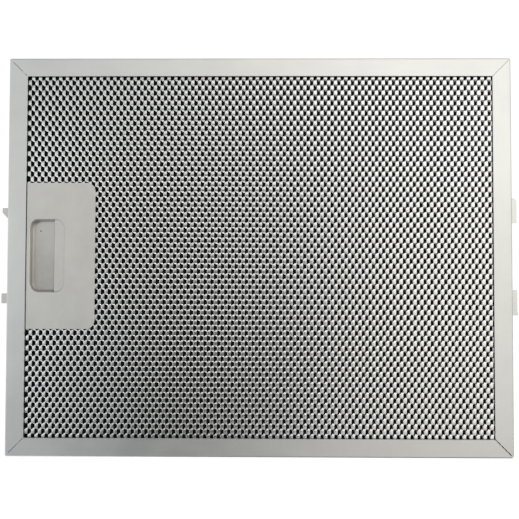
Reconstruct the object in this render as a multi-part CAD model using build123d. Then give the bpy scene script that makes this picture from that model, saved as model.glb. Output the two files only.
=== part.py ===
from build123d import *
import os
from math import radians, sqrt, tan

# The panel lies face up. X runs from the latch end to the tab end, Y across it, Z from the back to the face.
panel_length = 320.0
panel_width = 253.0
panel_thickness = 9.0

# Frame: one strip rolled to a U channel and folded round the panel
frame_sheet = 0.6
flange_width = 11.8
flange_bend_radius = 1.0
corner_bend_radius = 1.2
rim_bevel = 0.2
notch_gap = 0.3
notch_stop = 2.6
tight_notch_gap = 0.2
tight_notch_stop = 1.3
joint_gap = 0.6
notch_overrun = 1.0

# Lap and rivet that close the strip at its joint corner
lap_length = 15.0
lap_height = 6.0
lap_clearance = 0.1
rivet_setback = 9.0
rivet_shank_radius = 1.2
rivet_hole_clearance = 0.05
rivet_head_radius = 2.4
rivet_head_height = 0.8
rivet_crown_radius = 1.5
rivet_rim_height = 0.45
rivet_tail_radius = 1.8
rivet_tail_height = 0.7

# Tabs lanced out of the web at the far end
tab_spacing = 58.4
tab_length = 16.0
tab_reach = 3.4
tab_top = 7.2
tab_corner_radius = 2.6
nib_reach = 0.4
nib_length = 2.0

# Filter pack: two expanded sheets with a mat between them
pack_clearance = 2.2
mesh_height = 1.9
mesh_pitch = 4.35
mesh_strand = 0.5
mesh_crest = 2.2
mesh_gap = 1.3
mesh_bond = 6.0
mesh_border = 14.0

# Handle plate and its drawn finger pocket
plate_sheet = 0.6
plate_reach = 44.0
plate_width = 92.8
plate_corner_radius = 5.5
plate_clearance = 0.4
pocket_setback = 2.6
pocket_length = 21.5
pocket_width = 45.8
pocket_corner_radius = 5.6
pocket_depth = 4.0
pocket_draft = 6.0
pocket_draw_radius = 0.9
pocket_floor_bevel = 0.8
window_bevel = 0.45

# Latch slide: a flat U whose two arms end in prongs
slide_sheet = 1.2
slide_clearance = 0.3
latch_reach = 3.8
latch_retract = 0.2
prong_spacing = 54.4
prong_width = 6.4
prong_chamfer_length = 3.2
prong_chamfer_width = 3.4
shoulder = 1.2
lip_length = 6.7
crossbar_length = 8.4
lip_turn = 1.2
lip_turn_depth = 1.3
lip_edge_radius = 1.0
lip_wall_clearance = 0.6

# Guide tray and leaf spring behind the plate
tray_sheet = 0.6
tray_wall_clearance = 0.6
tray_rim = 1.7
tray_pack_clearance = 0.5
spring_strip = 0.4
spring_height = 1.0
spring_span = 40.0
spring_flat_room = 2.3
spring_clearance = 0.05

# Levels and faces that the pieces share
half_length = panel_length / 2
half_width = panel_width / 2
web_inside = half_length - frame_sheet
flange_under = panel_thickness - frame_sheet
plate_under = flange_under - plate_sheet
front_mesh_low = plate_under - mesh_height
back_mesh_top = frame_sheet + mesh_height
slide_top = plate_under - slide_clearance
slide_low = slide_top - slide_sheet
tray_floor_top = slide_low - slide_clearance
tray_floor_low = tray_floor_top - tray_sheet
pack_half_length = web_inside - pack_clearance
pack_half_width = half_width - frame_sheet - pack_clearance

# Places along X, from the latch end inwards
latch_travel = latch_reach + latch_retract
window_left = -half_length + flange_width
plate_right = window_left + plate_reach
pocket_left = window_left + pocket_setback
pocket_right = pocket_left + pocket_length
lip_left = pocket_right - lip_length
crossbar_right = pocket_right + crossbar_length
spring_right = crossbar_right + latch_travel + spring_flat_room
tray_wall_outside = spring_right + tray_sheet
tray_right = tray_wall_outside + tray_rim
core_cut_right = tray_right + tray_pack_clearance
pocket_trim = lip_left - lip_wall_clearance

# Places along Y, from the centre line outwards
prong_inner = (prong_spacing - prong_width) / 2
prong_outer = (prong_spacing + prong_width) / 2
shoulder_outer = prong_outer + shoulder
tray_wall_inner = shoulder_outer + tray_wall_clearance
tray_wall_outer = tray_wall_inner + tray_sheet
tray_rim_outer = tray_wall_outer + tray_rim
core_cut_half_width = tray_rim_outer + tray_pack_clearance

# Length of a tool that cuts right through the panel's depth
through = 3 * panel_thickness

low_corner = (Align.MIN, Align.MIN, Align.MIN)


def block(x_low, x_high, y_low, y_high, z_low, z_high):
    """Box between six planes."""
    return Pos(x_low, y_low, z_low) * Box(x_high - x_low, y_high - y_low, z_high - z_low, align=low_corner)


def rounded_case(inset):
    """The panel's outline as a solid, inset on every side, with the frame's bend radii."""
    case = block(
        inset - half_length, half_length - inset,
        inset - half_width, half_width - inset,
        inset, panel_thickness - inset,
    )
    case = fillet(case.edges().filter_by(Axis.Z), corner_bend_radius - inset)
    rims = case.edges().group_by(Axis.Z)
    return fillet(rims[0] + rims[-1], flange_bend_radius - inset)


def corner_notch(side_x, side_y, gap, stop):
    """Slit along a corner's diagonal through both flanges, from the window to stop short of the corner."""
    start = flange_width + notch_overrun
    middle = (start + stop) / 2
    slit = Box((start - stop) * sqrt(2), gap, through)
    turn = Rot(0, 0, 45 * side_x * side_y)
    return Pos(side_x * (half_length - middle), side_y * (half_width - middle), 0) * turn * slit


def lap_tongue():
    """End of the lower rail, turned up inside the web of the right-hand rail."""
    outside = web_inside - lap_clearance
    foot = frame_sheet / 2 - half_width
    z_low = (panel_thickness - lap_height) / 2
    return block(outside - frame_sheet, outside, foot, foot + lap_length, z_low, z_low + lap_height)


def rivet_axis():
    """Where the rivet goes through the web, pointing outwards."""
    return Plane(
        origin=(half_length, rivet_setback - half_width, panel_thickness / 2),
        x_dir=(0, 1, 0),
        z_dir=(1, 0, 0),
    )


def end_tab(side_y):
    """One lanced tab, flat, with the rounded or nibbed end that its side has."""
    middle = side_y * tab_spacing / 2
    tab_low = tab_top - frame_sheet
    y_low = middle - tab_length / 2
    y_high = middle + tab_length / 2
    tip = half_length + tab_reach
    tab = block(web_inside, tip, y_low, y_high, tab_low, tab_top)
    if side_y > 0:
        far_corner = tab.edges().filter_by(Axis.Z).sort_by(Axis.X)[-2:].sort_by(Axis.Y)[-1]
        return fillet(far_corner, tab_corner_radius)
    return tab + block(tip - frame_sheet, tip + nib_reach, y_low, y_low + nib_length, tab_low, tab_top)


def tab_window(side_y):
    """Hole that a tab leaves in the web below it."""
    middle = side_y * tab_spacing / 2
    tab_low = tab_top - frame_sheet
    return block(
        web_inside - frame_sheet, half_length + frame_sheet,
        middle - tab_length / 2, middle + tab_length / 2,
        tab_low - tab_reach, tab_low,
    )


def prong_slot(side_y):
    """Slot in the latch end's web that one prong slides through."""
    middle = side_y * prong_spacing / 2
    half_slot = prong_width / 2 + slide_clearance
    return block(
        -half_length - frame_sheet, frame_sheet - web_inside,
        middle - half_slot, middle + half_slot,
        slide_low - slide_clearance, slide_top + slide_clearance,
    )


def make_frame():
    """U channel strip folded at three corners and open at the fourth, with its tabs, slots and lap."""
    channel = rounded_case(0) - rounded_case(frame_sheet)
    window = Box(
        panel_length - 2 * flange_width,
        panel_width - 2 * flange_width,
        through,
    )
    channel -= window
    rims = channel.edges().filter_by(GeomType.LINE).group_by(Axis.Z)[-1]
    face_rims = [
        edge for edge in rims
        if abs(edge.center().X) < half_length - flange_width / 2
        and abs(edge.center().Y) < half_width - flange_width / 2
    ]
    channel = chamfer(face_rims, rim_bevel)
    channel -= corner_notch(-1, 1, notch_gap, notch_stop)
    channel -= corner_notch(-1, -1, notch_gap, notch_stop)
    channel -= corner_notch(1, 1, tight_notch_gap, tight_notch_stop)
    channel -= corner_notch(1, -1, joint_gap, -notch_overrun)
    channel += lap_tongue()
    channel -= rivet_axis() * Cylinder(rivet_shank_radius + rivet_hole_clearance, rivet_setback)
    for side_y in (1, -1):
        channel -= tab_window(side_y)
        channel -= prong_slot(side_y)
        channel += end_tab(side_y)
    return channel


def make_joint_rivet():
    """Blind rivet through the web and the lap: bevelled head outside, swaged tail inside."""
    grip = 2 * frame_sheet + lap_clearance
    outline = Polyline(
        (0, rivet_head_height),
        (rivet_crown_radius, rivet_head_height),
        (rivet_head_radius, rivet_rim_height),
        (rivet_head_radius, 0),
        (rivet_shank_radius, 0),
        (rivet_shank_radius, -grip),
        (rivet_tail_radius, -grip),
        (rivet_shank_radius, -grip - rivet_tail_height),
        (0, -grip - rivet_tail_height),
        close=True,
    )
    half_section = Plane.XZ * make_face(outline)
    return rivet_axis() * revolve(half_section, Axis.Z)


def louvre_section(z_low):
    """Section of an expanded sheet along X: each strand rises steeply to a flat crest, and drops after it."""
    teeth = int(2 * pack_half_length // mesh_pitch)
    start = -teeth * mesh_pitch / 2
    rise = mesh_height - mesh_strand
    lower = []
    for tooth in range(teeth):
        left = start + tooth * mesh_pitch
        crest_right = left + mesh_pitch - mesh_gap
        lower.append((left, z_low))
        lower.append((crest_right - mesh_crest, z_low + rise))
        lower.append((crest_right, z_low + rise))
    lower.append((start + teeth * mesh_pitch, z_low))
    upper = [(x, z + mesh_strand) for x, z in reversed(lower)]
    return Plane.XZ * make_face(Polyline(*lower, *upper, close=True))


def louvre_gaps(z_low, beside_latch):
    """Slots in the drops of an expanded sheet, staggered from strand to strand like the mesh's own bonds."""
    teeth = int(2 * pack_half_length // mesh_pitch)
    start = -teeth * mesh_pitch / 2
    open_half = pack_half_width - mesh_border
    gaps = []
    for tooth in range(teeth):
        right = start + (tooth + 1) * mesh_pitch
        split_row = tooth % 2 == 1
        inner = mesh_bond / 2 if split_row else 0
        if beside_latch and right < core_cut_right:
            inner = core_cut_half_width + mesh_bond
        outer = open_half if split_row else (open_half + inner) / 2
        spans = [(inner, outer), (-outer, -inner)] if inner else [(-outer, outer)]
        for low, high in spans:
            gaps.append(block(right - mesh_gap, right, low, high, z_low - mesh_height, z_low + 2 * mesh_height))
    return gaps


def make_front_mesh():
    """Expanded sheet under the face flange, cut away for the latch."""
    sheet = extrude(louvre_section(front_mesh_low), pack_half_width, both=True)
    cut_out = block(
        -panel_length, core_cut_right,
        -core_cut_half_width, core_cut_half_width,
        0, panel_thickness,
    )
    return sheet - [cut_out] - louvre_gaps(front_mesh_low, True)


def make_back_mesh():
    """The same sheet behind the mat, turned over so that it is raised towards the back."""
    sheet = extrude(louvre_section(front_mesh_low), pack_half_width, both=True)
    sheet -= louvre_gaps(front_mesh_low, False)
    turned = Rot(0, 180, 0) * sheet
    return Pos(0, 0, front_mesh_low + back_mesh_top) * turned


def make_carbon_mat():
    """Mat between the meshes, cut through for the pocket and pressed down under the guide tray."""
    mat = block(
        -pack_half_length, pack_half_length,
        -pack_half_width, pack_half_width,
        back_mesh_top, front_mesh_low,
    )
    under_tray = block(
        -panel_length, core_cut_right,
        -core_cut_half_width, core_cut_half_width,
        tray_floor_low - slide_clearance, panel_thickness,
    )
    room = plate_sheet + tray_pack_clearance
    pocket_hole = block(
        pocket_left - room, pocket_right + room,
        -pocket_width / 2 - room, pocket_width / 2 + room,
        0, panel_thickness,
    )
    return mat - under_tray - pocket_hole


def pocket_body(grow, z_top, z_low):
    """Tapered solid with the pocket's rounded outline, grown by a wall, between two levels."""
    drop = flange_under - z_low
    rise = flange_under - z_top
    shrink_low = drop * tan(radians(pocket_draft))
    shrink_top = rise * tan(radians(pocket_draft))
    middle = (pocket_left + pocket_right) / 2
    outlines = [
        Pos(middle, 0, z) * RectangleRounded(
            pocket_length + 2 * (grow - shrink),
            pocket_width + 2 * (grow - shrink),
            pocket_corner_radius + grow - shrink,
        )
        for z, shrink in ((z_low, shrink_low), (z_top, shrink_top))
    ]
    return loft(outlines)


def drawn_plate():
    """Plate with the pocket drawn into it all round, its edges rounded as drawn sheet is."""
    plate_left = plate_clearance - web_inside
    plate = block(
        plate_left, plate_right,
        -plate_width / 2, plate_width / 2,
        plate_under, flange_under,
    )
    floor_top = flange_under - pocket_depth
    floor_low = floor_top - plate_sheet
    pan = pocket_body(plate_sheet, flange_under, floor_low)
    bevel_outside = pocket_floor_bevel + plate_sheet * (2 - sqrt(2))
    pan = chamfer(pan.faces().sort_by(Axis.Z)[0].edges(), bevel_outside)
    hollow = pocket_body(0, flange_under, floor_top)
    hollow = chamfer(hollow.faces().sort_by(Axis.Z)[0].edges(), pocket_floor_bevel)
    body = plate + pan - hollow
    mouth = [
        edge for edge in body.edges().group_by(Axis.Z)[-1]
        if pocket_left - plate_sheet < edge.center().X < pocket_right + plate_sheet
        and abs(edge.center().Y) < pocket_width / 2 + plate_sheet
    ]
    return fillet(mouth, pocket_draw_radius)


def sheared_plate():
    """The same plate where the slide passes under it: a flat sheet with a bevelled window."""
    plate = block(
        pocket_trim, plate_right,
        -plate_width / 2, plate_width / 2,
        plate_under, flange_under,
    )
    far_corners = plate.edges().filter_by(Axis.Z).sort_by(Axis.X)[-2:]
    plate = fillet(far_corners, plate_corner_radius)
    middle = (pocket_left + pocket_right) / 2
    outline = RectangleRounded(pocket_length, pocket_width, pocket_corner_radius)
    window = Pos(middle, 0, plate_under) * extrude(outline, 2 * plate_sheet)
    flare = loft([
        Pos(middle, 0, flange_under - window_bevel) * outline,
        Pos(middle, 0, flange_under) * offset(outline, window_bevel),
    ])
    return plate - window - flare


def make_handle_plate():
    """Plate with a drawn pocket whose right-hand wall is cut down so that the lip can pass over it."""
    drawn = drawn_plate()
    left_part = drawn & block(-panel_length, pocket_trim, -panel_width, panel_width, 0, panel_thickness)
    low_wall = drawn & block(pocket_trim, plate_right, -panel_width, panel_width, 0, tray_floor_top)
    return left_part + low_wall + sheared_plate()


def prong_tip(side_y):
    """Corner cut off a prong on the side that faces the other prong."""
    tip = -half_length - latch_reach
    cut = Polygon(
        (tip, side_y * prong_inner),
        (tip + prong_chamfer_length, side_y * prong_inner),
        (tip, side_y * (prong_inner + prong_chamfer_width)),
        align=None,
    )
    return Pos(0, 0, slide_low - slide_sheet) * extrude(cut, 3 * slide_sheet)


def make_latch_slide():
    """Flat U: crossbar with the finger lip, two arms with stop shoulders, and two prongs."""
    tip = -half_length - latch_reach
    stop = slide_clearance - web_inside
    slide = block(lip_left, crossbar_right, -shoulder_outer, shoulder_outer, slide_low, slide_top)
    turn_half = pocket_width / 2 - pocket_corner_radius
    finger_edge = block(
        lip_left, lip_left + lip_turn,
        -turn_half, turn_half,
        slide_low - lip_turn_depth, slide_low,
    )
    for side_y in (1, -1):
        arm_sides = sorted((side_y * prong_inner, side_y * shoulder_outer))
        prong_sides = sorted((side_y * prong_inner, side_y * prong_outer))
        slide += block(stop, lip_left, *arm_sides, slide_low, slide_top)
        slide += block(tip, stop, *prong_sides, slide_low, slide_top)
        slide -= prong_tip(side_y)
    slide += finger_edge
    edge = [
        e for e in slide.edges().filter_by(Axis.Y).group_by(Axis.Z)[-1]
        if abs(e.center().X - lip_left) < lip_edge_radius
    ]
    return fillet(edge, lip_edge_radius)


def make_latch_housing():
    """Pressed tray under the slide, with walls on three sides and a rim that meets the plate."""
    tray_left = plate_clearance - web_inside
    outer = block(
        tray_left, tray_wall_outside,
        -tray_wall_outer, tray_wall_outer,
        tray_floor_low, plate_under,
    )
    inner = block(
        -panel_length, spring_right,
        -tray_wall_inner, tray_wall_inner,
        tray_floor_top, panel_thickness,
    )
    rim = block(
        tray_left, tray_right,
        -tray_rim_outer, tray_rim_outer,
        plate_under - tray_sheet, plate_under,
    )
    room = plate_sheet + slide_clearance
    pocket_hole = block(
        pocket_left - room, pocket_right + room,
        -pocket_width / 2 - room, pocket_width / 2 + room,
        0, panel_thickness,
    )
    return outer + rim - inner - pocket_hole


def make_latch_spring():
    """Bowed leaf spring on edge, its ends on the crossbar and its crown on the tray's wall."""
    inset = spring_strip / 2 + spring_clearance
    crown = spring_right - inset
    foot = crossbar_right + inset
    bow = ThreePointArc((foot, -spring_span / 2), (crown, 0), (foot, spring_span / 2))
    strip = trace(bow, spring_strip)
    spring_low = (slide_low + slide_top - spring_height) / 2
    return Pos(0, 0, spring_low) * extrude(strip, spring_height)


pieces = {
    "frame": make_frame,
    "joint_rivet": make_joint_rivet,
    "front_mesh": make_front_mesh,
    "back_mesh": make_back_mesh,
    "carbon_mat": make_carbon_mat,
    "handle_plate": make_handle_plate,
    "latch_housing": make_latch_housing,
    "latch_slide": make_latch_slide,
    "latch_spring": make_latch_spring,
}

os.makedirs("parts", exist_ok=True)
for node, make in pieces.items():
    export_step(make(), f"parts/{node}.step")
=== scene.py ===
import bpy
import bmesh
import math
import numpy as np
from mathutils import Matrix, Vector


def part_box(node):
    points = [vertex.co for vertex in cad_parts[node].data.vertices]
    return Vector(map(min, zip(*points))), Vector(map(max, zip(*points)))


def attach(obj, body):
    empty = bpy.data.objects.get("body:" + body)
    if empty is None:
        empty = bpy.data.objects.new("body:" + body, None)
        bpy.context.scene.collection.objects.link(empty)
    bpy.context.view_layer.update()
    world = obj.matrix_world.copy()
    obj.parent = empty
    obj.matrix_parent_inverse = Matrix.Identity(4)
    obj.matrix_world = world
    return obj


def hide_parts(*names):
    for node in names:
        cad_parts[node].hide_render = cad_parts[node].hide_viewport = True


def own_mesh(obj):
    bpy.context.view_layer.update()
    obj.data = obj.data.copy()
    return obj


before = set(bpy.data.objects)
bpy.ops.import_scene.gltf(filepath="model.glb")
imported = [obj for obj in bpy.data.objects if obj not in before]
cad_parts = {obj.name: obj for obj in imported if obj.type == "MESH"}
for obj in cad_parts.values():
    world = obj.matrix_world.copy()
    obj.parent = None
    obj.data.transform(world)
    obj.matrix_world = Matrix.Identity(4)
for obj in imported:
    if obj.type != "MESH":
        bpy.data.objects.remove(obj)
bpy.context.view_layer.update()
scene = bpy.context.scene
rng = np.random.default_rng(7)
mm = 0.001

# Panel sizes that the textures follow
half_length = -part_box("frame")[0].x
half_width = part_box("frame")[1].y
flange_width = 11.8 * mm

# Expanded sheet: a bond every pitch along X, in rows that are staggered by half a pitch
mesh_pitch = 4.35 * mm
row_spacing = 3.265 * mm
bond_length = 2.5 * mm
sheet_thickness = 0.3 * mm
bond_jitter = 0.03 * mm
tray_room = 2.0 * mm

# Section of a bond, in mm from the left of its crest: place, level and the tilt of the surface there
crest_width = 1.88
crest_section = ((0.0, -0.05, -0.06), (0.94, 0.0, -0.01), (crest_width, -0.03, 0.02))
steep_section = ((-1.05, -1.6, -2.5), (-0.38, -0.5, -1.3), (0.0, -0.05, -0.06))
end_tilt = 0.12

# Normals of the links between bonds: where one rises to a crest and where it falls from it, along +Y
rising_link = (-0.25, -0.45, 1.0)
falling_link = (-0.02, 0.24, 1.0)

# How a face of the sheet is shaded
bond_shade = 0
rising_shade = 1
falling_shade = 2
flat_shade = 3

# Carbon mat: its grid, its lumps as waves of unlike lengths, and its edge, which is thinner than its middle
mat_step = 3.0 * mm
mat_lump = 0.3 * mm
mat_edge = 1.6 * mm
mat_slack = 0.6 * mm
mat_reach = 0.1 * mm
mat_least_swell = 0.12
wave_count = 14
wave_lengths_mm = (9, 34)
wave_spread = 10
top_seed = 3
bottom_seed = 4

# Leaf spring: its section and the steps of its curve
leaf_strip = 0.4 * mm
leaf_rounding = 0.08 * mm
leaf_steps = 64

# Merging of doubled points, and the angle above which an edge stays hard
merge_distance = 1e-7
hard_edge_degrees = 75

# Hole in the mat round the finger pocket, and the levels between which grime and painted shade set in there
pocket_low_x = -146.7 * mm
pocket_high_x = -123.0 * mm
pocket_half_width = 24.0 * mm
grime_and_shade_top = 7.8 * mm
grime_and_shade_low = 5.0 * mm
grime_and_shade_far = 0.08
grime_and_shade_near = 0.45

# Painted shadow line on the plate where it goes under the flange
flange_edge_x = flange_width - half_length
flange_shadow_width = 0.6 * mm
flange_shadow_level = 8.3 * mm
flange_shadow_wobble = 0.2 * mm

# Painted shadow line along the finger lip's edge, darker towards the near end
lip_edge_x = -130.8 * mm
lip_shadow_width = 0.45 * mm
lip_low = 5.8 * mm
lip_top = 7.7 * mm
lip_shadow_far = 0.25
lip_shadow_near = 0.85

# Speck of dirt on the pocket's floor
speck_place = (-140.3 * mm, 15.9 * mm, 4.4 * mm)
speck_radius = 0.45 * mm
speck_wobble = 0.5 * mm

# Finishes: the dark and the light shade of each colour, and the least and the most roughness
frame_shades = ((0.67, 0.67, 0.66), (0.74, 0.74, 0.725))
frame_roughness = (0.30, 0.40)
handle_shades = ((0.67, 0.655, 0.625), (0.74, 0.725, 0.69))
handle_roughness = (0.42, 0.52)
mesh_shades = ((0.71, 0.71, 0.705), (0.79, 0.79, 0.78))
mesh_roughness = (0.18, 0.28)
# The felt's black is darker than real felt, as painted shade deep in the holes of the sheets
felt_shades_darkened_as_shade = ((0.005, 0.005, 0.0055), (0.013, 0.013, 0.014))
felt_roughness = (0.55, 0.95)
felt_shine = 0.15
tray_shades = ((0.50, 0.51, 0.52), (0.60, 0.61, 0.62))
tray_roughness = (0.34, 0.46)
spring_shades = ((0.36, 0.37, 0.39), (0.46, 0.47, 0.49))
spring_roughness = (0.26, 0.36)
# Film colour: grime mixed with painted shade in the finger pocket's recess
film_and_shade_colour = (0.30, 0.27, 0.235, 1.0)
# Dark colour of the speck of dirt and of the painted shadow lines
dirt_and_shadow_colour = (0.02, 0.018, 0.016, 1.0)
white = (1.0, 1.0, 1.0, 1.0)

# What clouds, patches and lines add to the roughness
cloud_roughness = (-0.03, 0.05)
patch_roughness = (-0.03, 0.03)
plating_roughness = (-0.04, 0.04)

# Depths of fine relief
grain_depth = 0.012 * mm
streak_depth = 0.02 * mm
plating_depth = 0.01 * mm
carbon_grain_depth = 0.3 * mm
fibre_depth = 0.2 * mm

# Camera that was fitted to the frame's four corners
camera_place = (0.0028, -0.01119, 0.359)
camera_turn_degrees = (1.473, 0.402, 0.127)
camera_lens = 38.41
camera_sensor = 36.0
camera_nearest = 0.01

# Floor, just under the panel: the grey that takes the shadow, and the glow that lifts it to white
floor_half_size = 3.0
floor_gap = 0.1 * mm
floor_grey = (0.4, 0.4, 0.4, 1.0)
floor_glow = 0.8

# Lamp, aimed at the panel's middle
lamp_place = Vector((0.55, 0.45, 0.75))
lamp_size = 0.6
lamp_power = 0.6
lamp_colour = (1.0, 0.98, 0.95)

# Room light: its direction, and its colours from the side away from it to the middle of it
window_direction = (0.38, 0.12, 0.917)
room_colours = (
    (0.0, (0.27, 0.30, 0.325)),
    (0.60, (0.40, 0.43, 0.45)),
    (0.68, (0.49, 0.50, 0.505)),
    (0.78, (0.68, 0.68, 0.665)),
    (0.82, (0.77, 0.765, 0.745)),
    (0.86, (0.86, 0.85, 0.82)),
    (0.90, (0.95, 0.935, 0.89)),
    (0.94, (1.12, 1.095, 1.035)),
    (0.97, (1.22, 1.195, 1.13)),
    (1.0, (1.26, 1.235, 1.165)),
)

# Brighter patches of it: direction, degrees to the end of the full light and to the edge, colour, light
bright_patches = (
    ((-0.50, 0.10, 0.860), 5.0, 17.0, (0.99, 0.99, 0.97, 1.0), 0.70),
    ((-0.46, -0.20, 0.865), 4.0, 15.0, (0.92, 0.98, 1.0, 1.0), 0.46),
    ((-0.05, 0.386, 0.921), 0.0, 22.0, (1.0, 0.99, 0.96, 1.0), 0.45),
    ((-0.90, 0.05, 0.43), 10.0, 30.0, (0.99, 0.99, 0.97, 1.0), 0.7),
    ((-0.62, -0.65, 0.44), 8.0, 24.0, (1.0, 0.99, 0.97, 1.0), 1.3),
)

# Darker patches of it, as from someone behind the camera: direction, degrees to the edge, share of light left
dark_patches = (
    ((-0.27, -0.30, 0.915), 17.0, 0.1),
    ((-0.07, -0.14, 0.988), 15.0, 0.2),
    ((0.1, -0.90, 0.424), 40.0, 0.2),
    ((-0.16, 0.03, 0.987), 18.0, 0.1),
    ((0.45, -0.45, 0.772), 22.0, 0.75),
    ((0.50, 0.45, 0.740), 22.0, 0.6),
)


class NodeTree:
    """Short calls for making and joining shader nodes."""

    def __init__(self, owner):
        owner.use_nodes = True
        self.tree = owner.node_tree
        self.tree.nodes.clear()

    def add(self, kind, settings=None, **inputs):
        """Adds a node. A node's output as an input is linked, and anything else is set on the socket."""
        node = self.tree.nodes.new(kind)
        for name, value in (settings or {}).items():
            setattr(node, name, value)
        for name, value in inputs.items():
            key = int(name[1:]) if name[1:].isdigit() else name.replace("_", " ")
            socket = node.inputs[key]
            if isinstance(value, bpy.types.NodeSocket):
                self.tree.links.new(value, socket)
            else:
                socket.default_value = value
        return node

    def place(self):
        """The point on the surface, in the object's own metres."""
        return self.add("ShaderNodeTexCoord").outputs["Object"]

    def split(self, vector):
        """The X, Y and Z of a vector."""
        return self.add("ShaderNodeSeparateXYZ", None, Vector=vector).outputs

    def math(self, operation, a, b=0.0):
        return self.add("ShaderNodeMath", {"operation": operation}, _0=a, _1=b).outputs[0]

    def dot(self, a, b):
        return self.add("ShaderNodeVectorMath", {"operation": "DOT_PRODUCT"}, _0=a, _1=b).outputs["Value"]

    def distance(self, a, b):
        return self.add("ShaderNodeVectorMath", {"operation": "DISTANCE"}, _0=a, _1=b).outputs["Value"]

    def noise(self, vector, scale, detail=3.0):
        """Cloudy noise, with scale in clouds a metre."""
        settings = {"Vector": vector, "Scale": scale, "Detail": detail, "Roughness": 0.55}
        return self.add("ShaderNodeTexNoise", None, **settings).outputs["Fac"]

    def drawn_out(self, vector, scales):
        """Noise with its own scale along each axis, which draws it out into lines."""
        stretched = self.add("ShaderNodeVectorMath", {"operation": "MULTIPLY"}, _0=vector, _1=scales)
        return self.noise(stretched.outputs[0], 1.0, 2.0)

    def ramp(self, factor, stops):
        """A colour ramp from (place, colour) pairs."""
        node = self.add("ShaderNodeValToRGB", None, Fac=factor)
        elements = node.color_ramp.elements
        while len(elements) < len(stops):
            elements.new(0.5)
        for element, (place, colour) in zip(elements, stops):
            element.position = place
            element.color = (*colour, 1.0)
        return node.outputs["Color"]

    def shades(self, factor, dark_and_light, low=0.3, high=0.7):
        """A ramp from the dark shade at low to the light one at high."""
        return self.ramp(factor, list(zip((low, high), dark_and_light)))

    def remap(self, value, start, end, at_start, at_end, kind="LINEAR"):
        """Goes from at_start to at_end as the value goes from start to end, and no further."""
        settings = {"interpolation_type": kind}
        node = self.add("ShaderNodeMapRange", settings, _0=value, _1=start, _2=end, _3=at_start, _4=at_end)
        return node.outputs[0]

    def span(self, factor, low, high):
        """Maps a 0 to 1 factor to low to high."""
        return self.remap(factor, 0.0, 1.0, low, high)

    def two_spans(self, first, first_span, second, second_span):
        """The sum of two 0 to 1 factors, each mapped to its own span."""
        return self.math("ADD", self.span(first, *first_span), self.span(second, *second_span))

    def mix_colours(self, factor, first, second):
        settings = {"data_type": "RGBA"}
        return self.add("ShaderNodeMix", settings, _0=factor, _6=first, _7=second).outputs[2]

    def bump(self, height, distance, strength, under=None):
        """A normal from heights, laid over another normal where one is given."""
        node = self.add("ShaderNodeBump", None, Height=height, Distance=distance, Strength=strength)
        if under is not None:
            self.tree.links.new(under, node.inputs["Normal"])
        return node.outputs["Normal"]

    def finish(self, **surface):
        """Ends a material with one surface of the given properties."""
        shader = self.add("ShaderNodeBsdfPrincipled", None, **surface)
        self.add("ShaderNodeOutputMaterial", None, Surface=shader.outputs[0])


def new_material(name):
    material = bpy.data.materials.new(name)
    return material, NodeTree(material)


def rail_grain(nodes, place):
    """Rolling lines that run along each rail and turn at the mitres."""
    split = nodes.split(place)
    from_end = nodes.math("SUBTRACT", nodes.math("ABSOLUTE", split["X"]), half_length)
    from_side = nodes.math("SUBTRACT", nodes.math("ABSOLUTE", split["Y"]), half_width)
    on_short_rail = nodes.math("GREATER_THAN", from_end, from_side)
    along_x = nodes.drawn_out(place, (40.0, 2600.0, 2600.0))
    along_y = nodes.drawn_out(place, (2600.0, 40.0, 2600.0))
    return nodes.add("ShaderNodeMix", None, _0=on_short_rail, _2=along_x, _3=along_y).outputs[0]


def frame_aluminium():
    """Satin rolled strip with faint rolling lines and cloudy handling marks."""
    material, nodes = new_material("frame_aluminium")
    place = nodes.place()
    grain = rail_grain(nodes, place)
    clouds = nodes.noise(place, 38.0, 4.0)
    nodes.finish(
        Base_Color=nodes.shades(clouds, frame_shades),
        Metallic=1.0,
        Roughness=nodes.two_spans(grain, frame_roughness, clouds, cloud_roughness),
        Normal=nodes.bump(grain, grain_depth, 0.6),
    )
    return material


def speck_mask(nodes, place):
    """One inside the speck of dirt and nought outside it, with a ragged edge."""
    wobble = nodes.span(nodes.noise(place, 1800.0), -speck_wobble / 2, speck_wobble / 2)
    ragged = nodes.math("ADD", nodes.distance(place, speck_place), wobble)
    return nodes.math("LESS_THAN", ragged, speck_radius)


# Painted shadow: the shade in the gap under the flange's edge
def flange_shadow_line(nodes, place):
    """One on the plate's face right beside the flange, falling to nought across the painted shadow line's
    width.
    """
    split = nodes.split(place)
    wobble = nodes.span(nodes.noise(place, 260.0), -flange_shadow_wobble, flange_shadow_wobble)
    across = nodes.math("ADD", split["X"], wobble)
    full_to = flange_edge_x + 0.5 * flange_shadow_width
    beside = nodes.remap(across, full_to, flange_edge_x + flange_shadow_width, 1.0, 0.0)
    on_face = nodes.math("GREATER_THAN", split["Z"], flange_shadow_level)
    return nodes.math("MULTIPLY", beside, on_face)


# Painted shadow: the shade that the lip's edge casts into the pocket
def lip_shadow_line(nodes, place):
    """Painted shadow along the folded edge of the finger lip, darker towards the near end."""
    split = nodes.split(place)
    limits = (
        nodes.math("LESS_THAN", split["X"], lip_edge_x + lip_shadow_width),
        nodes.math("GREATER_THAN", split["X"], lip_edge_x - lip_shadow_width),
        nodes.math("GREATER_THAN", split["Z"], lip_low),
        nodes.math("LESS_THAN", split["Z"], lip_top),
    )
    line = nodes.remap(split["Y"], pocket_half_width, -pocket_half_width, lip_shadow_far, lip_shadow_near)
    for limit in limits:
        line = nodes.math("MULTIPLY", line, limit)
    return line


def pocket_grime_and_shade(nodes, place):
    """A thin film of grime and painted shade below the plate's face, darker the deeper it lies, patchy and
    heavier towards the near end.
    """
    split = nodes.split(place)
    below = nodes.remap(split["Z"], grime_and_shade_top, grime_and_shade_low, 0.0, 1.0)
    near = nodes.remap(split["Y"], pocket_half_width, -pocket_half_width, grime_and_shade_far, grime_and_shade_near)
    patchy = nodes.span(nodes.noise(place, 300.0), 0.7, 1.3)
    return nodes.math("MULTIPLY", nodes.math("MULTIPLY", below, near), patchy)


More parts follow.
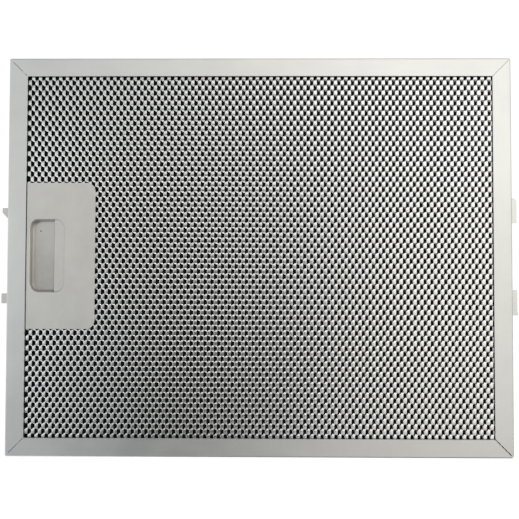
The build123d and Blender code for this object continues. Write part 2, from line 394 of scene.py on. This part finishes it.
def handle_aluminium():
    """Satin sheet, warmer than the frame, with fine lines across the panel, a speck of dirt, painted shadow
    lines at the flange and the lip, and grime and painted shade in the pocket.
    """
    material, nodes = new_material("handle_aluminium")
    place = nodes.place()
    grain = nodes.drawn_out(place, (2200.0, 60.0, 2200.0))
    clouds = nodes.noise(place, 60.0, 4.0)
    # The film is grime and painted shade, darker deeper in the pocket
    film_and_shade = nodes.mix_colours(pocket_grime_and_shade(nodes, place), nodes.shades(clouds, handle_shades), film_and_shade_colour)
    # A speck of real dirt, and painted shadow lines at the flange's edge and along the lip's edge
    dirt_and_shadow = nodes.math("MAXIMUM", speck_mask(nodes, place), flange_shadow_line(nodes, place))
    dirt_and_shadow = nodes.math("MAXIMUM", dirt_and_shadow, lip_shadow_line(nodes, place))
    nodes.finish(
        Base_Color=nodes.mix_colours(dirt_and_shadow, film_and_shade, dirt_and_shadow_colour),
        Metallic=nodes.span(dirt_and_shadow, 1.0, 0.0),
        Roughness=nodes.two_spans(grain, handle_roughness, clouds, cloud_roughness),
        Normal=nodes.bump(grain, grain_depth, 0.6),
    )
    return material


def mesh_aluminium():
    """Bright expanded sheet: sheared strands with fine streaks and a slight change from bond to bond."""
    material, nodes = new_material("mesh_aluminium")
    place = nodes.place()
    streaks = nodes.drawn_out(place, (900.0, 2600.0, 900.0))
    patches = nodes.noise(place, 420.0, 2.0)
    nodes.finish(
        Base_Color=nodes.shades(patches, mesh_shades),
        Metallic=1.0,
        Roughness=nodes.two_spans(streaks, mesh_roughness, patches, patch_roughness),
        Normal=nodes.bump(streaks, streak_depth, 0.5),
    )
    return material


def carbon_felt():
    """Black felt with carbon grains, darker than felt's own black as painted shade deep in the sheets' holes:
    matt fibre with a few grains that glint faintly.
    """
    material, nodes = new_material("carbon_felt")
    place = nodes.place()
    grains = nodes.add("ShaderNodeTexVoronoi", None, Vector=place, Scale=900.0).outputs["Distance"]
    fibre = nodes.noise(place, 2400.0, 4.0)
    nodes.finish(
        Base_Color=nodes.shades(fibre, felt_shades_darkened_as_shade, high=0.8),
        Roughness=nodes.span(grains, *felt_roughness),
        Normal=nodes.bump(grains, carbon_grain_depth, 0.8, nodes.bump(fibre, fibre_depth, 0.6)),
        Specular_IOR_Level=felt_shine,
    )
    return material


def plated_steel(name, dark_and_light, roughness):
    """Rolled steel with a mottled plating."""
    material, nodes = new_material(name)
    place = nodes.place()
    mottle = nodes.noise(place, 240.0)
    lines = nodes.drawn_out(place, (60.0, 2400.0, 2400.0))
    nodes.finish(
        Base_Color=nodes.shades(mottle, dark_and_light),
        Metallic=1.0,
        Roughness=nodes.two_spans(mottle, roughness, lines, plating_roughness),
        Normal=nodes.bump(lines, plating_depth, 0.5),
    )
    return material


def link_piece(name, points, faces, material):
    """A smooth mesh object from points and faces, in the scene."""
    data = bpy.data.meshes.new(name)
    data.from_pydata(points.tolist(), [], faces)
    data.shade_smooth()
    data.materials.append(material)
    piece = bpy.data.objects.new(name, data)
    scene.collection.objects.link(piece)
    return piece


def new_piece(name, points, faces, material):
    """A mesh object without doubled or loose points, with faces turned outwards and hard edges kept."""
    piece = link_piece(name, points, faces, material)
    work = bmesh.new()
    work.from_mesh(piece.data)
    bmesh.ops.remove_doubles(work, verts=work.verts, dist=merge_distance)
    bmesh.ops.recalc_face_normals(work, faces=work.faces)
    loose = [point for point in work.verts if not point.link_faces]
    bmesh.ops.delete(work, geom=loose, context="VERTS")
    work.to_mesh(piece.data)
    work.free()
    piece.data.set_sharp_from_angle(angle=math.radians(hard_edge_degrees))
    return piece


def strand_points(columns, rows, top):
    """Points of every strand and the surface's tilts there: by strand, row, bond end and place across it.

    A strand is the crest side of a bond in one row, and the steep side of the next bond in the row after.
    """
    offset_x = rng.normal(0.0, bond_jitter, (len(columns) + 1, len(rows)))
    offset_z = -np.abs(rng.normal(0.0, bond_jitter, (len(columns) + 1, len(rows))))
    points = np.zeros((len(columns), len(rows), 2, 3, 3))
    tilts = np.ones_like(points)
    for c, column in enumerate(columns):
        for r, row in enumerate(rows):
            is_crest = (column + row) % 2 == 0
            bond = column if is_crest else column + 1
            section = np.array(crest_section if is_crest else steep_section)
            slot = c if is_crest else c + 1
            for end, side in enumerate((-1, 1)):
                points[c, r, end, :, 0] = bond * mesh_pitch / 2 + section[:, 0] * mm + offset_x[slot, r]
                points[c, r, end, :, 1] = row * row_spacing + side * bond_length / 2
                points[c, r, end, :, 2] = top + section[:, 1] * mm + offset_z[slot, r]
                tilts[c, r, end, :, 0] = section[:, 2]
                tilts[c, r, end, :, 1] = side * end_tilt
    return points, tilts


class StrandGrid:
    """The strands that a sheet keeps, and the numbers of their points, some shared within a bond."""

    def __init__(self, columns, rows, kept):
        self.columns = columns
        self.rows = rows
        self.kept = kept
        ends = (len(columns), len(rows), 2)
        upper_count = 3 * math.prod(ends)
        self.upper = np.arange(upper_count).reshape(*ends, 3)
        self.lower = upper_count + np.arange(2 * math.prod(ends)).reshape(*ends, 2)
        for c, r in self.strands():
            if not self.is_crest(c, r) and self.has(c + 1, r):
                self.upper[c, r, :, 2] = self.upper[c + 1, r, :, 0]
                self.lower[c, r, :, 1] = self.lower[c + 1, r, :, 0]

    def has(self, c, r):
        return 0 <= c < len(self.columns) and 0 <= r < len(self.rows) and self.kept[c, r]

    def is_crest(self, c, r):
        return (self.columns[c] + self.rows[r]) % 2 == 0

    def strands(self):
        places = np.ndindex(len(self.columns), len(self.rows))
        return [place for place in places if self.has(*place)]

    def stretches(self, c, r):
        """The strand in its bond and its link to the next row: ends above, ends below and shade."""
        top, under = self.upper[c, r], self.lower[c, r]
        found = [(top[0], top[1], under[0], under[1], bond_shade)]
        if self.has(c, r + 1):
            shade = falling_shade if self.is_crest(c, r) else rising_shade
            found.append((top[1], self.upper[c, r + 1, 0], under[1], self.lower[c, r + 1, 0], shade))
        return found

    def faces(self, c, r):
        """The strand's faces as (shade, corners), without the side where a bond's two strands join."""
        joins_left = self.is_crest(c, r) and self.has(c - 1, r)
        joins_right = not self.is_crest(c, r) and self.has(c + 1, r)
        found = []
        for near, far, near_low, far_low, shade in self.stretches(c, r):
            in_bond = shade == bond_shade
            found.append((shade, (near[0], near[1], far[1], far[0])))
            found.append((shade, (near[1], near[2], far[2], far[1])))
            found.append((flat_shade, (near_low[0], far_low[0], far_low[1], near_low[1])))
            if not (in_bond and joins_left):
                found.append((flat_shade, (near[0], far[0], far_low[0], near_low[0])))
            if not (in_bond and joins_right):
                found.append((flat_shade, (near[2], near_low[1], far_low[1], far[2])))
        top, under = self.upper[c, r], self.lower[c, r]
        if not self.has(c, r - 1):
            found.append((flat_shade, (under[0, 0], under[0, 1], *top[0, ::-1])))
        if not self.has(c, r + 1):
            found.append((flat_shade, (*top[1], under[1, 1], under[1, 0])))
        return found


def expanded_sheet(name, low, high, hole, turned, material):
    """Expanded sheet between two corners, with a rectangular hole, as one closed skin of strands."""
    last_column = int((high.x - crest_width * mm) / (mesh_pitch / 2)) - 1
    last_row = int((high.y - bond_length / 2) / row_spacing)
    columns = range(-last_column, last_column + 1)
    rows = range(-last_row, last_row + 1)
    upper, tilts = strand_points(columns, rows, high.z)
    lower = upper[:, :, :, ::2, :] - np.array((0.0, 0.0, sheet_thickness))
    centre = upper.mean(axis=(2, 3))
    kept = np.ones(centre.shape[:2], bool)
    if hole is not None:
        kept = (centre[:, :, 0] > hole[0]) | (np.abs(centre[:, :, 1]) > hole[1])
    grid = StrandGrid(columns, rows, kept)
    faces = [face for strand in grid.strands() for face in grid.faces(*strand)]
    shades = np.array([shade for shade, corners in faces])
    outlines = [np.array(corners) for shade, corners in faces]
    points = np.concatenate((upper.reshape(-1, 3), lower.reshape(-1, 3)))
    normals = np.concatenate((tilts.reshape(-1, 3), np.ones((lower.size // 3, 3))))
    turn = np.array((-1, 1, -1) if turned else (1, 1, 1))
    middle = np.array((0.0, 0.0, (low.z + high.z) / 2))
    points = middle + (points - middle) * turn
    used = np.unique(np.concatenate(outlines))
    place = np.zeros(len(points), int)
    place[used] = np.arange(len(used))
    sheet = link_piece(name, points[used], [place[outline].tolist() for outline in outlines], material)
    shade_strands(sheet.data, normals[used], shades, turn)
    return sheet


def shade_strands(data, tilts, shades, turn):
    """Sets corner normals: bonds by the tilts at their points, links by their own, other faces flat."""
    count = len(data.polygons)
    directions = np.empty(count * 3)
    corners = np.empty(count, int)
    points = np.empty(len(data.loops), int)
    data.polygons.foreach_get("normal", directions)
    data.polygons.foreach_get("loop_total", corners)
    data.loops.foreach_get("vertex_index", points)
    face_of_corner = np.repeat(np.arange(count), corners)
    shade = shades[face_of_corner]
    normals = tilts[points]
    normals[shade == rising_shade] = rising_link
    normals[shade == falling_shade] = falling_link
    normals = normals * turn
    is_flat = shade == flat_shade
    normals[is_flat] = directions.reshape(-1, 3)[face_of_corner[is_flat]]
    normals /= np.linalg.norm(normals, axis=1, keepdims=True)
    data.normals_split_custom_set(normals.tolist())


def make_front_mesh(material):
    """The sheet under the face flange, cut away for the latch tray."""
    low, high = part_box("front_mesh")
    tray_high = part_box("latch_housing")[1]
    hole = (tray_high.x + tray_room, tray_high.y + tray_room)
    sheet = expanded_sheet("expanded_front", low, high, hole, False, material)
    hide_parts("front_mesh")
    return sheet


def make_back_mesh(material):
    """The sheet behind the mat, turned over about Y so that its crests face backwards."""
    low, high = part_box("back_mesh")
    sheet = expanded_sheet("expanded_back", low, high, None, True, material)
    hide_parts("back_mesh")
    return sheet


def ruled(low, high, extra):
    """Grid lines from low to high about one step apart, with the extra places among them."""
    places = sorted({low, high, *extra})
    lines = []
    for start, end in zip(places, places[1:]):
        count = max(1, round((end - start) / mat_step))
        lines.extend(start + (end - start) * i / count for i in range(count))
    return np.array(lines + [high])


def lumps(x, y, seed):
    """Smooth unevenness from a few waves, between 0 and 1."""
    waves = np.random.default_rng(seed)
    total = np.zeros_like(x)
    for _ in range(wave_count):
        along = waves.uniform(0, 2 * math.pi)
        length = waves.uniform(*wave_lengths_mm) * mm
        phase = waves.uniform(0, 2 * math.pi)
        total += np.sin((x * math.cos(along) + y * math.sin(along)) * 2 * math.pi / length + phase)
    return np.clip(0.5 + total / wave_spread, 0, 1)


def slab_faces(kept):
    """Faces of a slab over the kept cells of a grid: its top, its bottom and a wall round every edge."""
    across, along = kept.shape
    index = np.arange((across + 1) * (along + 1)).reshape(across + 1, along + 1)
    below = index.size
    faces = []
    for i, j in np.argwhere(kept):
        corners = [int(index[place]) for place in ((i, j), (i + 1, j), (i + 1, j + 1), (i, j + 1))]
        faces.append(tuple(corners))
        faces.append(tuple(corner + below for corner in reversed(corners)))
        beside = ((i, j - 1), (i + 1, j), (i, j + 1), (i - 1, j))
        for side, (a, b) in enumerate(beside):
            if 0 <= a < across and 0 <= b < along and kept[a, b]:
                continue
            start, end = corners[side], corners[(side + 1) % 4]
            faces.append((start, start + below, end + below, end))
    return faces


def make_carbon_mat(material):
    """Felt mat between the sheets: lumpy on both faces, thinner at its edges, pressed down under the tray."""
    low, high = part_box("carbon_mat")
    tray_low, tray_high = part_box("latch_housing")
    tray_right = tray_high.x + mat_slack
    tray_half = tray_high.y + mat_slack
    xs = ruled(low.x, high.x, [low.x + mat_edge, pocket_low_x, pocket_high_x, tray_right, high.x - mat_edge])
    ys = ruled(
        low.y, high.y,
        [low.y + mat_edge, -tray_half, -pocket_half_width, pocket_half_width, tray_half, high.y - mat_edge],
    )
    x, y = np.meshgrid(xs, ys, indexing="ij")
    rim = np.minimum.reduce((x - low.x, high.x - x, y - low.y, high.y - y)) / mat_edge
    swell = np.sqrt(np.clip(rim, mat_least_swell, 1.0))
    middle = (low.z + high.z) / 2
    half = (high.z - low.z) / 2
    top = middle + (half - mat_lump * lumps(x, y, top_seed)) * swell
    bottom = middle - (half - mat_lump * lumps(x, y, bottom_seed)) * swell
    under_tray = (x < tray_right + mat_reach) & (np.abs(y) < tray_half + mat_reach)
    top = np.where(under_tray, np.minimum(top, tray_low.z - mat_slack), top)
    x_mid = (xs[:-1] + xs[1:]) / 2
    y_mid = (ys[:-1] + ys[1:]) / 2
    in_pocket_x = (x_mid > pocket_low_x) & (x_mid < pocket_high_x)
    kept = ~np.outer(in_pocket_x, np.abs(y_mid) < pocket_half_width)
    points = np.concatenate([np.stack((x, y, z), -1).reshape(-1, 3) for z in (top, bottom)])
    mat = new_piece("carbon_felt_mat", points, slab_faces(kept), material)
    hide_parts("carbon_mat")
    return mat


def leaf_section(low, high):
    """The strip's section as (across, level) corners, with its four edges cut off."""
    middle = (low.z + high.z) / 2
    half = (high.z - low.z) / 2
    section = []
    for across, up in ((-1, -1), (1, -1), (1, 1), (-1, 1)):
        for cut_across, cut_up in ((0, 1), (1, 0)) if across * up > 0 else ((1, 0), (0, 1)):
            place = across * (leaf_strip / 2 - leaf_rounding * cut_across)
            section.append((place, middle + up * (half - leaf_rounding * cut_up)))
    return section


def make_latch_spring(material):
    """Bowed leaf spring on edge between the slide's crossbar and the tray's wall."""
    low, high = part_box("latch_spring")
    foot = low.x + leaf_strip / 2
    crown = high.x - leaf_strip / 2
    span = high.y - leaf_strip / 2
    rise = crown - foot
    radius = (span * span + rise * rise) / (2 * rise)
    sweep = math.asin(span / radius)
    section = leaf_section(low, high)
    points = []
    for step in range(leaf_steps + 1):
        angle = sweep * (2 * step / leaf_steps - 1)
        for across, z in section:
            reach = radius + across
            points.append((crown - radius + reach * math.cos(angle), reach * math.sin(angle), z))
    around = len(section)
    last = leaf_steps * around
    faces = [tuple(range(around)), tuple(range(last, last + around))]
    for base in range(0, last, around):
        for a in range(around):
            b = (a + 1) % around
            faces.append((base + a, base + b, base + around + b, base + around + a))
    spring = new_piece("leaf_spring", np.array(points), faces, material)
    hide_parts("latch_spring")
    return spring


def set_material(node_name, material):
    """Gives a CAD node its material in the slot that it already has."""
    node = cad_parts[node_name]
    node.data.materials.clear()
    node.data.materials.append(material)


def make_floor():
    """White floor that keeps a soft shadow under the panel."""
    material, nodes = new_material("floor_white")
    path = nodes.add("ShaderNodeLightPath").outputs
    seen = nodes.math("MAXIMUM", path["Is Camera Ray"], path["Is Glossy Ray"])
    seen = nodes.math("MAXIMUM", seen, path["Is Transmission Ray"])
    glow = nodes.add("ShaderNodeEmission", None, Color=white, Strength=nodes.span(seen, 0.0, floor_glow))
    paint = nodes.add("ShaderNodeBsdfDiffuse", None, Color=floor_grey)
    both = nodes.add("ShaderNodeAddShader", None, _0=glow.outputs[0], _1=paint.outputs[0])
    nodes.add("ShaderNodeOutputMaterial", None, Surface=both.outputs[0])
    data = bpy.data.meshes.new("floor")
    corners = [(x * floor_half_size, y * floor_half_size, 0) for x, y in ((-1, -1), (1, -1), (1, 1), (-1, 1))]
    data.from_pydata(corners, [], [(0, 1, 2, 3)])
    data.materials.append(material)
    floor = bpy.data.objects.new("floor", data)
    floor.location.z = -floor_gap
    scene.collection.objects.link(floor)


def lobe(nodes, direction, aim, core_degrees, edge_degrees, at_edge, at_core):
    """A value that changes smoothly from one at the edge of a patch of sky to another at its core."""
    edge = math.cos(math.radians(edge_degrees))
    core = math.cos(math.radians(core_degrees))
    return nodes.remap(nodes.dot(direction, aim), edge, core, at_edge, at_core, "SMOOTHSTEP")


def make_world():
    """Room light that is brightest up to the right, with patches of brighter and darker light in it."""
    world = bpy.data.worlds.new("room")
    scene.world = world
    nodes = NodeTree(world)
    direction = nodes.add("ShaderNodeTexCoord").outputs["Generated"]
    room_colour = nodes.ramp(nodes.dot(direction, window_direction), room_colours)
    shade = 1.0
    for aim, edge, left in dark_patches:
        shade = nodes.math("MULTIPLY", lobe(nodes, direction, aim, 0.0, edge, 1.0, left), shade)
    light = nodes.add("ShaderNodeBackground", None, Color=room_colour, Strength=shade).outputs[0]
    for aim, core, edge, colour, level in bright_patches:
        strength = lobe(nodes, direction, aim, core, edge, 0.0, level)
        patch = nodes.add("ShaderNodeBackground", None, Color=colour, Strength=strength)
        light = nodes.add("ShaderNodeAddShader", None, _0=light, _1=patch.outputs[0]).outputs[0]
    backdrop = nodes.add("ShaderNodeBackground", None, Color=white, Strength=1.0)
    seen = nodes.add("ShaderNodeLightPath").outputs["Is Camera Ray"]
    mixed = nodes.add("ShaderNodeMixShader", None, _0=seen, _1=light, _2=backdrop.outputs[0])
    nodes.add("ShaderNodeOutputWorld", None, Surface=mixed.outputs[0])


def make_lamp():
    """A soft square lamp, turned towards the panel's middle."""
    data = bpy.data.lights.new("key", "AREA")
    data.size = lamp_size
    data.energy = lamp_power
    data.color = lamp_colour
    lamp = bpy.data.objects.new("key", data)
    lamp.location = lamp_place
    lamp.rotation_euler = lamp_place.to_track_quat("Z", "Y").to_euler()
    scene.collection.objects.link(lamp)


def make_camera():
    """The camera that took the photograph, as it was fitted."""
    data = bpy.data.cameras.new("camera")
    data.sensor_width = camera_sensor
    data.lens = camera_lens
    data.clip_start = camera_nearest
    camera = bpy.data.objects.new("camera", data)
    camera.location = camera_place
    camera.rotation_euler = [math.radians(angle) for angle in camera_turn_degrees]
    scene.collection.objects.link(camera)
    scene.camera = camera


frame_metal = frame_aluminium()
handle_metal = handle_aluminium()
mesh_metal = mesh_aluminium()
felt = carbon_felt()
tray_metal = plated_steel("tray_steel", tray_shades, tray_roughness)
spring_metal = plated_steel("spring_steel", spring_shades, spring_roughness)

for node_name, material in (
    ("frame", frame_metal),
    ("joint_rivet", frame_metal),
    ("handle_plate", handle_metal),
    ("latch_slide", handle_metal),
    ("latch_housing", tray_metal),
):
    set_material(node_name, material)

front_mesh = make_front_mesh(mesh_metal)
back_mesh = make_back_mesh(mesh_metal)
carbon_mat = make_carbon_mat(felt)
latch_spring = make_latch_spring(spring_metal)
for piece, slot_name in (
    (front_mesh, "mesh_aluminium"),
    (back_mesh, "mesh_aluminium"),
    (carbon_mat, "carbon_felt"),
    (latch_spring, "spring_steel"),
):
    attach(piece, "panel")

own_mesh(latch_spring)

make_floor()
make_world()
make_lamp()
make_camera()
scene.view_settings.view_transform = "Standard"
